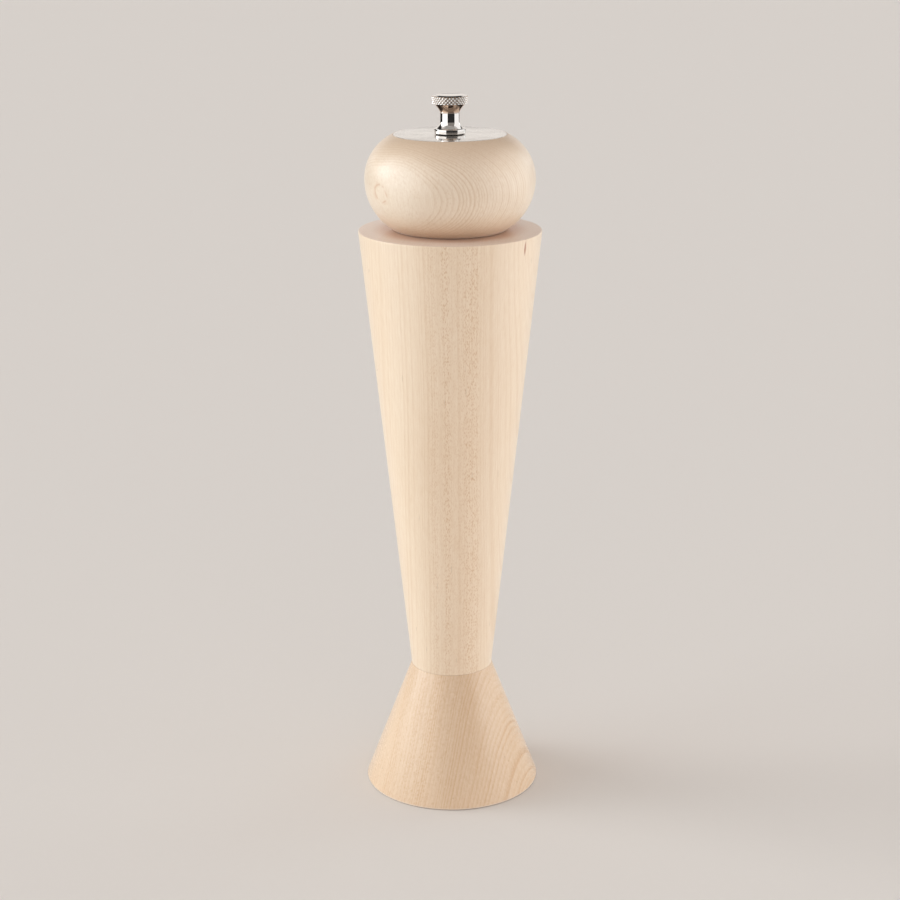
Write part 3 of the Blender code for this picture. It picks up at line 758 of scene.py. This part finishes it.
def make_foot():
    floor_z, top_z = heights_of("base")
    foot_r = radius_of("base")
    lean_deg = math.degrees(math.atan2(foot_r - SEAM_R, SEAM_Z - floor_z))
    edge = 0.2 * MM
    outline = [
        (TENON_R - FOOT_CHAMFER, top_z),
        (TENON_R, top_z - FOOT_CHAMFER),
        (TENON_R, SEAM_Z),
        *arc(SEAM_R - SEAM_EDGE_R, SEAM_Z - SEAM_EDGE_R, SEAM_EDGE_R, 90, lean_deg, 4),
        *arc(foot_r - FOOT_EDGE_R, floor_z + FOOT_EDGE_R, FOOT_EDGE_R, lean_deg / 2, -90, 6),
        *arc(BAR_RECESS_R + FOOT_CHAMFER, floor_z + FOOT_CHAMFER, FOOT_CHAMFER, -90, -180, 3),
        (BAR_RECESS_R, BAR_RECESS_TOP_Z),
        *arc(FLANGE_RECESS_R + edge, BAR_RECESS_TOP_Z + edge, edge, -90, -180, 2),
        (FLANGE_RECESS_R, FLANGE_RECESS_TOP_Z),
        (BURR_BORE_R, FLANGE_RECESS_TOP_Z),
        (BURR_BORE_R, BURR_BORE_TOP_Z),
        (NECK_BORE_R, BURR_BORE_TOP_Z),
        (NECK_BORE_R, top_z - FOOT_CHAMFER),
        (NECK_BORE_R + FOOT_CHAMFER, top_z),
    ]
    add_piece("turned_foot", turned("turned_foot", outline), "base")


def make_body():
    floor_z, rim_z = heights_of("upper_body")
    rim_r = radius_of("upper_body")
    socket_r = TENON_R + SOCKET_GAP
    socket_top_z = heights_of("base")[1] + SOCKET_GAP
    outline = [
        (CHAMBER_R + MOUTH_CHAMFER, rim_z),
        *arc(rim_r - RIM_EDGE_R, rim_z - RIM_EDGE_R, RIM_EDGE_R, 90, -5, 6),
        *arc(SEAM_R - SEAM_EDGE_R, floor_z + SEAM_EDGE_R, SEAM_EDGE_R, -5, -90, 4),
        (socket_r, floor_z),
        (socket_r, socket_top_z),
        (NECK_BORE_R, socket_top_z),
        (NECK_BORE_R, CHAMBER_FLOOR_Z),
        (CHAMBER_R, CHAMBER_FLOOR_Z + CHAMBER_CONE_HEIGHT),
        (CHAMBER_R, rim_z - MOUTH_CHAMFER),
    ]
    add_piece("turned_body", turned("turned_body", outline), "upper_body")


def make_head():
    tenon_floor_z = heights_of("head")[0]
    widest_r = radius_of("head")
    recess_r = radius_of("top_plate") + RECESS_GAP
    seat_z = heights_of("top_plate")[0] - PLATE_LIFT
    arc_centre_r = widest_r - HEAD_UPPER_ARC_R
    top_deg = math.degrees(math.acos((recess_r - arc_centre_r) / HEAD_UPPER_ARC_R))
    floor_deg = math.degrees(math.asin((HEAD_FLOOR_Z - HEAD_WIDEST_Z) / HEAD_LOWER_ARC_R))
    lower_centre_r = widest_r - HEAD_LOWER_ARC_R
    upper = arc(arc_centre_r, HEAD_WIDEST_Z, HEAD_UPPER_ARC_R, top_deg, 0, HEAD_ARC_STEPS)
    lower = arc(lower_centre_r, HEAD_WIDEST_Z, HEAD_LOWER_ARC_R, 0, floor_deg, HEAD_ARC_STEPS)
    outline = [
        (HEAD_BORE_R, seat_z),
        (recess_r, seat_z),
        *upper,
        *lower[1:],
        (HEAD_TENON_R, HEAD_FLOOR_Z),
        (HEAD_TENON_R, tenon_floor_z + HEAD_TENON_CHAMFER),
        (HEAD_TENON_R - HEAD_TENON_CHAMFER, tenon_floor_z),
        (HEAD_BORE_R, tenon_floor_z),
    ]
    add_piece("ball_head", turned("ball_head", outline), "head")


# Plate, washer and nut


def make_plate():
    floor_z, top_z = heights_of("top_plate")
    top_z -= PLATE_SINK
    plate_r = radius_of("top_plate")
    edge = PLATE_EDGE_R
    outline = [
        (THREAD_CLEARANCE_R + 0.1 * MM, top_z),
        *arc(plate_r - edge, top_z - edge, edge, 90, 0, 6),
        *arc(plate_r - edge / 2, floor_z + edge / 2, edge / 2, 0, -90, 3),
        (THREAD_CLEARANCE_R, floor_z),
        (THREAD_CLEARANCE_R, top_z - 0.1 * MM),
    ]
    add_piece("mirror_plate", turned("mirror_plate", outline), "top_plate")


def make_washer():
    """The washer, which reaches down to the plate where the plate is drawn."""
    low_z, high_z = heights_of("nut_washer")
    outlines = [circle(radius_of("nut_washer")), circle(THREAD_CLEARANCE_R)]
    mesh = stamped("fibre_washer", outlines, low_z - PLATE_SINK, high_z, 0.06 * MM)
    add_piece("fibre_washer", mesh, "nut_washer")


def knurled_rings(grip_r, low_z, high_z, count):
    """Rings of a diamond knurl: pyramids between two families of crossing spiral grooves."""
    share = np.arange(count) / count * KNURL_STARTS
    steps = KNURL_ROWS * KNURL_STEPS
    rings = []
    for k in range(steps + 1):
        row = KNURL_ROWS * k / steps
        left = np.abs(2 * ((share + row) % 1) - 1)
        right = np.abs(2 * ((share - row) % 1) - 1)
        cut = np.maximum(left, right) ** 2
        rings.append(ring(grip_r - KNURL_DEPTH * cut, low_z + (high_z - low_z) * k / steps, count))
    return rings


def make_nut():
    seat_z, top_z = heights_of("finial_nut")
    lip_z = seat_z - 0.5 * MM
    grip_r = radius_of("finial_nut")
    grip_floor_z, grip_top_z = NUT_GRIP_Z
    waist_floor_z, waist_top_z = NUT_WAIST_Z
    core_r = grip_r - KNURL_DEPTH
    edge = 0.25 * MM
    washer_clearance_r = radius_of("nut_washer") + 0.15 * MM
    count = KNURL_STARTS * KNURL_STEPS
    above = [
        (0.0, top_z),
        (NUT_FLAT_R - 0.1 * MM, top_z),
        (NUT_FLAT_R, top_z - 0.02 * MM),
        (core_r, grip_top_z + 0.04 * MM),
    ]
    below = [
        (core_r, grip_floor_z - 0.1 * MM),
        (core_r - 0.3 * MM, grip_floor_z - 0.2 * MM),
        *hollow_flare(5.6 * MM, grip_floor_z - 0.4 * MM, NUT_WAIST_R, waist_top_z),
        *reversed(hollow_flare(4.9 * MM, NUT_FOOT_TOP_Z, NUT_WAIST_R, waist_floor_z)),
        *arc(NUT_FOOT_R - edge, NUT_FOOT_TOP_Z - edge - 0.05 * MM, edge, 80, 0, 4),
        *arc(NUT_FOOT_R - edge, lip_z + edge, edge, 0, -90, 4),
        (washer_clearance_r, lip_z),
        (washer_clearance_r, seat_z),
        (NUT_BORE_R, seat_z),
        (NUT_BORE_R, NUT_BORE_TOP_Z),
        (0.0, NUT_BORE_TOP_Z),
    ]
    rings = [ring(r, z, count) for r, z in above]
    rings += reversed(knurled_rings(grip_r, grip_floor_z, grip_top_z, count))
    rings += [ring(r, z, count) for r, z in below]
    mesh = skinned("knurled_nut", rings, closed=False, sharp_deg=28)
    add_piece("knurled_nut", mesh, "finial_nut")


# Shaft, burrs and spring


def squared_ring(half_width, corner, z, count):
    """A square section with its corners cut off."""
    angle = angles_of(count)
    cos, sin = np.abs(np.cos(angle)), np.abs(np.sin(angle))
    side = half_width / np.maximum(cos, sin)
    cut = (2 * half_width - corner) / (cos + sin)
    return ring(np.minimum(side, cut), z, count)


def make_shaft():
    floor_z, top_z = heights_of("shaft")
    half_width = radius_of("shaft")
    groove_low_z, groove_high_z = SHAFT_GROOVE_Z
    thread_floor_z = top_z - SHAFT_THREAD_LENGTH
    pin = [
        (SHAFT_ROUND_R - SHAFT_CHAMFER, floor_z),
        (SHAFT_ROUND_R, floor_z + SHAFT_CHAMFER),
        (SHAFT_ROUND_R, groove_low_z),
        (SHAFT_GROOVE_R, groove_low_z),
        (SHAFT_GROOVE_R, groove_high_z),
    ]
    rings = [ring(r, z, ROD_SIDES) for r, z in pin]
    for z in (groove_high_z, SHAFT_SQUARE_TOP_Z - 0.2 * MM):
        rings.append(squared_ring(half_width, SHAFT_CORNER, z, ROD_SIDES))
    rings.append(ring(SHAFT_ROUND_R, SHAFT_SQUARE_TOP_Z, ROD_SIDES))
    rings.append(ring(SHAFT_ROUND_R, thread_floor_z - 0.2 * MM, ROD_SIDES))
    thread_top_z = top_z - SHAFT_CHAMFER
    rings += threaded(SHAFT_ROUND_R, THREAD_PITCH, THREAD_DEPTH, thread_floor_z, thread_top_z)
    rings.append(ring(SHAFT_ROUND_R - SHAFT_CHAMFER, top_z, ROD_SIDES))
    add_piece("square_shaft", skinned("square_shaft", rings, closed=False), "shaft")


def tooth(angle, teeth, depth):
    """How deep a row of slanted teeth is cut at an angle."""
    turn = (teeth * angle / (2 * np.pi)) % 1
    return depth * np.where(turn < TOOTH_SLOPE, turn / TOOTH_SLOPE, (1 - turn) / (1 - TOOTH_SLOPE))


def make_rotor():
    floor_z, top_z = heights_of("rotor")
    count = BURR_SIDES
    angle = angles_of(count)
    rings = []
    for share in np.linspace(0, 1, 9):
        tip_r = ROTOR_FLOOR_R + (ROTOR_FINE_TOP_R - ROTOR_FLOOR_R) * share
        cut = tooth(angle + FINE_TWIST * share, FINE_TEETH, FINE_TOOTH_DEPTH)
        rings.append(ring(tip_r - cut, floor_z + FINE_HEIGHT * share, count))
    for share in np.linspace(0, 1, 25)[1:]:
        tip_r = ROTOR_FINE_TOP_R + (ROTOR_TOP_R - ROTOR_FINE_TOP_R) * share
        depth = COARSE_TOOTH_DEPTH * min(1.0, 2 * share)
        cut = tooth(angle - ROTOR_TWIST * share, ROTOR_TEETH, depth)
        z = floor_z + FINE_HEIGHT + (top_z - floor_z - FINE_HEIGHT) * share
        rings.append(ring(tip_r - cut, z, count))
    for z in (top_z, floor_z):
        rings.append(squared_ring(SQUARE_HOLE_HALF_WIDTH, 0.2 * MM, z, count))
    add_piece("inner_burr", skinned("inner_burr", rings, closed=True, sharp_deg=25), "rotor")


def make_stator():
    floor_z, top_z = heights_of("stator")
    flange_r = radius_of("stator")
    flange_top_z = floor_z + STATOR_FLANGE_THICKNESS
    fine_top_z = heights_of("rotor")[0] + FINE_HEIGHT + 0.5 * MM
    count = BURR_SIDES
    angle = angles_of(count)
    edge = 0.2 * MM
    outside = [
        *arc(flange_r - edge, floor_z + edge, edge, -90, 0, 3),
        *arc(flange_r - edge, flange_top_z - edge, edge, 0, 90, 3),
        (STATOR_R, flange_top_z),
        *arc(STATOR_R - edge, top_z - edge, edge, 0, 90, 3),
    ]
    rings = [ring(r, z, count) for r, z in outside]
    for share in np.linspace(1, 0, 17):
        tip_r = STATOR_FINE_TOOTH_R + (STATOR_TOP_TOOTH_R - STATOR_FINE_TOOTH_R) * share
        coarse = tooth(angle, STATOR_TEETH, COARSE_TOOTH_DEPTH * share)
        fine = tooth(-angle, FINE_TEETH, FINE_TOOTH_DEPTH * (1 - share))
        rings.append(ring(tip_r + coarse + fine, fine_top_z + (top_z - fine_top_z) * share, count))
    for share in np.linspace(0, 1, 7)[1:]:
        tip_r = STATOR_FINE_TOOTH_R + (STATOR_FLOOR_TOOTH_R - STATOR_FINE_TOOTH_R) * share
        fine = tooth(-angle, FINE_TEETH, FINE_TOOTH_DEPTH)
        rings.append(ring(tip_r + fine, fine_top_z + (floor_z - fine_top_z) * share, count))
    add_piece("outer_burr", skinned("outer_burr", rings, closed=True, sharp_deg=25), "stator")


def make_spring():
    """A compression spring whose end turns lie closer, wound from round wire."""
    floor_z, top_z = heights_of("spring")
    coil_r = radius_of("spring") - SPRING_WIRE_R
    low = floor_z + SPRING_WIRE_R
    rise = top_z - floor_z - 2 * SPRING_WIRE_R
    open_pitch = (rise - 2 * SPRING_END_PITCH) / (SPRING_TURNS - 2)
    pitches = [SPRING_END_PITCH] + [open_pitch] * (SPRING_TURNS - 2) + [SPRING_END_PITCH]
    heights = np.concatenate([[0], np.cumsum(pitches)]) + low
    section = angles_of(SPRING_WIRE_SIDES)
    rings = []
    for turn in np.linspace(0, SPRING_TURNS, SPRING_TURNS * SPRING_STEPS + 1):
        angle = 2 * np.pi * turn
        z = np.interp(turn, np.arange(SPRING_TURNS + 1), heights)
        radius = coil_r + SPRING_WIRE_R * np.cos(section)
        height = z + SPRING_WIRE_R * np.sin(section)
        rings.append(np.stack([radius * np.cos(angle), radius * np.sin(angle), height], axis=1))
    piece = add_piece("coil_spring", skinned("coil_spring", rings, closed=False), "spring")
    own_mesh(piece)


# Small plates and screws


def make_seat():
    low_z, high_z = heights_of("spring_seat")
    outlines = [circle(radius_of("spring_seat")), square(SQUARE_HOLE_HALF_WIDTH)]
    mesh = stamped("thrust_seat", outlines, low_z, high_z, 0.12 * MM)
    add_piece("thrust_seat", mesh, "spring_seat")


def screws_named(prefix):
    """The CAD screws of one kind, as {node: the middle of its head's crown}."""
    found = {}
    for node in sorted(frame["nodes"]):
        if node.startswith(prefix):
            low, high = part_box(node)
            found[node] = Vector(((low.x + high.x) / 2, (low.y + high.y) / 2, low.z))
    return found


def make_bar():
    low_z, high_z = heights_of("bottom_bar")
    end_x = radius_of("bottom_bar") - BAR_END_R
    right = [(end_x + x, y) for x, y in arc(0.0, 0.0, BAR_END_R, -90, 90, 24)]
    left = [(-x, -y) for x, y in right]
    outlines = [right + left, circle(BAR_PIN_HOLE_R)]
    for crown in screws_named("bar_screw").values():
        outlines.append(circle(BAR_SCREW_HOLE_R, crown.x, crown.y, steps=HOLE_SIDES))
    mesh = stamped("foot_bar", outlines, low_z, high_z, 0.2 * MM)
    add_piece("foot_bar", mesh, "bottom_bar")


def make_driver_plate():
    low_z, high_z = heights_of("driver_plate")
    outlines = [circle(radius_of("driver_plate")), square(SQUARE_HOLE_HALF_WIDTH)]
    for crown in screws_named("driver_screw").values():
        outlines.append(circle(DRIVER_SCREW_HOLE_R, crown.x, crown.y, steps=HOLE_SIDES))
    mesh = stamped("driver_disc", outlines, low_z, high_z, 0.15 * MM)
    add_piece("driver_disc", mesh, "driver_plate")


def make_clip():
    low_z, high_z = heights_of("rotor_clip")
    outer_r = -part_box("rotor_clip")[0].x
    half = CLIP_OPENING / 2
    angles = np.linspace(half, 2 * math.pi - half, 61)
    outer = [(outer_r * math.cos(a), outer_r * math.sin(a)) for a in angles]
    inner = [(CLIP_INNER_R * math.cos(a), CLIP_INNER_R * math.sin(a)) for a in angles[::-1]]
    mesh = stamped("open_clip", [outer + inner], low_z, high_z, 0.1 * MM)
    add_piece("open_clip", mesh, "rotor_clip")


def make_yoke():
    """The CAD strap, with its flat faces rejoined and its edges rounded."""
    made = bmesh.new()
    made.from_mesh(frame["nodes"]["yoke"].data)
    bmesh.ops.remove_doubles(made, verts=made.verts, dist=0.001 * MM)
    bmesh.ops.dissolve_limit(
        made, angle_limit=math.radians(1), verts=made.verts, edges=made.edges, delimit={"NORMAL"}
    )
    mesh = bpy.data.meshes.new("burr_yoke")
    made.to_mesh(mesh)
    made.free()
    blank = bpy.data.objects.new("burr_yoke_blank", mesh)
    bpy.context.scene.collection.objects.link(blank)
    rounding = blank.modifiers.new("Rounding", "BEVEL")
    rounding.width = 0.15 * MM
    rounding.segments = 2
    rounding.limit_method = "ANGLE"
    rounding.angle_limit = math.radians(50)
    add_piece("burr_yoke", tidied(final_mesh(blank, "burr_yoke")), "yoke")


def screw_mesh(name, node):
    """A slotted pan-head wood screw that points up, with its head's crown at height 0."""
    low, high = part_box(node)
    head_r = (high.x - low.x) / 2
    length = high.z - low.z
    shank_r = 0.52 * head_r
    head_height = 0.56 * head_r
    head = [
        (0.0, 0.0),
        (0.5 * head_r, 0.0),
        (0.8 * head_r, 0.06 * head_r),
        (0.95 * head_r, 0.2 * head_r),
        (head_r, 0.38 * head_r),
        (head_r, 0.5 * head_r),
        (0.97 * head_r, head_height),
        (shank_r, head_height),
    ]
    rings = [ring(r, z, ROD_SIDES) for r, z in head]
    thread_low_z = head_height + 0.6 * MM
    thread_high_z = length - 1.6 * MM
    rings += threaded(shank_r, SCREW_THREAD_PITCH, SCREW_THREAD_DEPTH, thread_low_z, thread_high_z)
    rings.append(ring(0.3 * MM, length - 0.2 * MM, ROD_SIDES))
    rings.append(ring(0.05 * MM, length, ROD_SIDES))
    mesh = skinned(name, rings, closed=False)
    blank = bpy.data.objects.new(name + "_blank", mesh)
    bpy.context.scene.collection.objects.link(blank)
    bpy.ops.mesh.primitive_cube_add(size=1.0)
    cutter = bpy.context.object
    cutter.scale = (3 * head_r, SCREW_SLOT_WIDTH, 2 * SCREW_SLOT_DEPTH)
    slot = blank.modifiers.new("Slot", "BOOLEAN")
    slot.object = cutter
    slot.solver = "EXACT"
    cut = final_mesh(blank, name)
    bpy.data.objects.remove(cutter, do_unlink=True)
    return tidied(cut)


def make_screws(prefix, name):
    """Screws of one kind, which share a mesh."""
    mesh = None
    for number, (node, crown) in enumerate(screws_named(prefix).items(), start=1):
        if mesh is None:
            mesh = screw_mesh(name, node)
        add_piece(f"{name}_{number}", mesh, node, place=crown)


# Light, floor and camera

FLOOR_SIZE = 16.0
FLOOR_COLOURS = (0.798, 0.752, 0.713), (0.808, 0.761, 0.722)
CARD_STEPS = 24
CEILING_HALF_WIDTH = 0.5
CEILING_Z = 1.1
WHITE = (1.0, 1.0, 1.0)
WARM = (1.0, 0.97, 0.94)
DARK = (0.03, 0.03, 0.03)


def make_floor():
    """Plain paper. It casts no shadow, so the lights below its level reach the wood."""
    bpy.ops.mesh.primitive_plane_add(size=FLOOR_SIZE)
    floor = bpy.context.object
    floor.name = "studio_floor"
    g = Graph("studio_paper", roughness=0.9)
    g.shader.inputs["Specular IOR Level"].default_value = 0.0
    fibre = g.noise(g.place().stretch(0.4, 0.4, 0.4), detail=2.0)
    floor.data.materials.append(g.finish(g.mix(fibre, *FLOOR_COLOURS)))
    floor.visible_shadow = False


def make_world():
    world = bpy.data.worlds.new("studio")
    bpy.context.scene.world = world
    world.use_nodes = True
    background = world.node_tree.nodes["Background"]
    background.inputs["Color"].default_value = (1.0, 0.95, 0.92, 1.0)
    background.inputs["Strength"].default_value = 0.61


def make_sun(name, strength, colour, spread_deg, azimuth_deg, elevation_deg):
    """A broad soft light. Azimuth 0 is where the camera stands and 90 is to its right."""
    lamp = bpy.data.lights.new(name, "SUN")
    lamp.energy = strength
    lamp.color = colour
    lamp.angle = math.radians(spread_deg)
    lamp.specular_factor = 0.0
    sun = bpy.data.objects.new(name, lamp)
    bpy.context.scene.collection.objects.link(sun)
    towards = direction(azimuth_deg, elevation_deg)
    sun.rotation_euler = towards.to_track_quat("Z", "Y").to_euler()
    return sun


def direction(azimuth_deg, elevation_deg):
    azimuth, elevation = math.radians(azimuth_deg), math.radians(elevation_deg)
    flat = math.cos(elevation)
    return Vector((math.sin(azimuth) * flat, -math.cos(azimuth) * flat, math.sin(elevation)))


def make_card(name, azimuths_deg, distance, low_z, high_z, colour, strength):
    """An upright curved studio card that only reflections see."""
    angles = np.radians(np.linspace(*azimuths_deg, CARD_STEPS + 1))
    points = []
    for z in (low_z, high_z):
        points += [(distance * math.sin(a), -distance * math.cos(a), z) for a in angles]
    faces = [(i, i + 1, CARD_STEPS + 2 + i, CARD_STEPS + 1 + i) for i in range(CARD_STEPS)]
    mesh = bpy.data.meshes.new(name)
    mesh.from_pydata(points, [], faces)
    add_card(name, mesh, colour, strength)


def make_ceiling():
    """A grey card overhead that only reflections see."""
    corners = [(x, y, CEILING_Z) for x, y in square(CEILING_HALF_WIDTH)]
    mesh = bpy.data.meshes.new("grey_ceiling")
    mesh.from_pydata(corners, [], [(0, 1, 2, 3)])
    add_card("grey_ceiling", mesh, (0.40, 0.385, 0.37), 1.0)


def add_card(name, mesh, colour, strength):
    g = Graph(name, roughness=1.0, base_color=(0.0, 0.0, 0.0, 1.0))
    g.shader.inputs["Specular IOR Level"].default_value = 0.0
    g.shader.inputs["Emission Color"].default_value = (*colour, 1.0)
    g.shader.inputs["Emission Strength"].default_value = strength
    mesh.materials.append(g.material)
    card = bpy.data.objects.new(name, mesh)
    bpy.context.scene.collection.objects.link(card)
    card.visible_camera = False
    card.visible_diffuse = False
    card.visible_shadow = False
    card.visible_transmission = False


def make_lights():
    make_sun("left_key", 1.62, (0.79, 0.94, 1.0), 56, -80, 6)
    make_sun("left_high", 1.0, (0.95, 0.98, 1.0), 34, -102, 20)
    right_key = make_sun("right_key", 1.5, (0.90, 0.97, 1.0), 56, 78, -8)
    right_key.data.use_shadow = False  # it wraps round the ball head on to the rim
    make_sun("right_rim", 0.55, (0.80, 0.95, 1.0), 40, 124, 7)
    make_sun("front_fill", 0.38, WARM, 60, 5, 5)
    make_sun("floor_bounce", 0.35, WARM, 60, 40, -40)
    make_card("left_softbox", (-98, -27), 0.9, 0.002, 1.3, WHITE, 1.5)
    make_card("right_softbox", (58, 134), 0.9, 0.002, 1.3, WHITE, 1.15)
    make_card("dark_front", (-27, 58), 0.5, 0.002, 0.33, DARK, 1.0)
    make_card("grey_front", (-27, 58), 0.5, 0.33, 1.0, (0.27, 0.25, 0.235), 1.0)
    make_card("dark_left", (-150, -98), 0.9, 0.05, 0.3, DARK, 1.0)
    make_card("dark_right", (134, 150), 0.9, 0.05, 0.3, DARK, 1.0)
    make_card("bright_back", (150, 230), 1.6, 0.3, 0.8, (1.0, 0.95, 0.9), 0.92)
    make_card("dark_high", (110, 250), 1.55, 0.82, 2.6, DARK, 1.0)
    make_ceiling()


def make_camera():
    data = bpy.data.cameras.new("camera")
    data.lens = LENS_MM
    data.sensor_width = 36.0
    camera = bpy.data.objects.new("camera", data)
    bpy.context.scene.collection.objects.link(camera)
    aim = Euler((math.pi / 2 + CAMERA_PITCH, 0, 0)).to_matrix()
    roll = Matrix.Rotation(CAMERA_ROLL, 3, "Z")
    camera.matrix_world = Matrix.LocRotScale(CAMERA_PLACE, (aim @ roll).to_quaternion(), None)
    bpy.context.scene.camera = camera
    bpy.context.scene.view_settings.view_transform = "Standard"


make_finishes()
make_foot()
make_body()
make_head()
make_plate()
make_washer()
make_nut()
make_shaft()
make_rotor()
make_stator()
make_spring()
make_seat()
make_bar()
make_driver_plate()
make_clip()
make_yoke()
make_screws("stator_screw", "flange_screw")
make_screws("bar_screw", "bar_end_screw")
make_screws("driver_screw", "driver_disc_screw")
make_floor()
make_world()
make_lights()
make_camera()
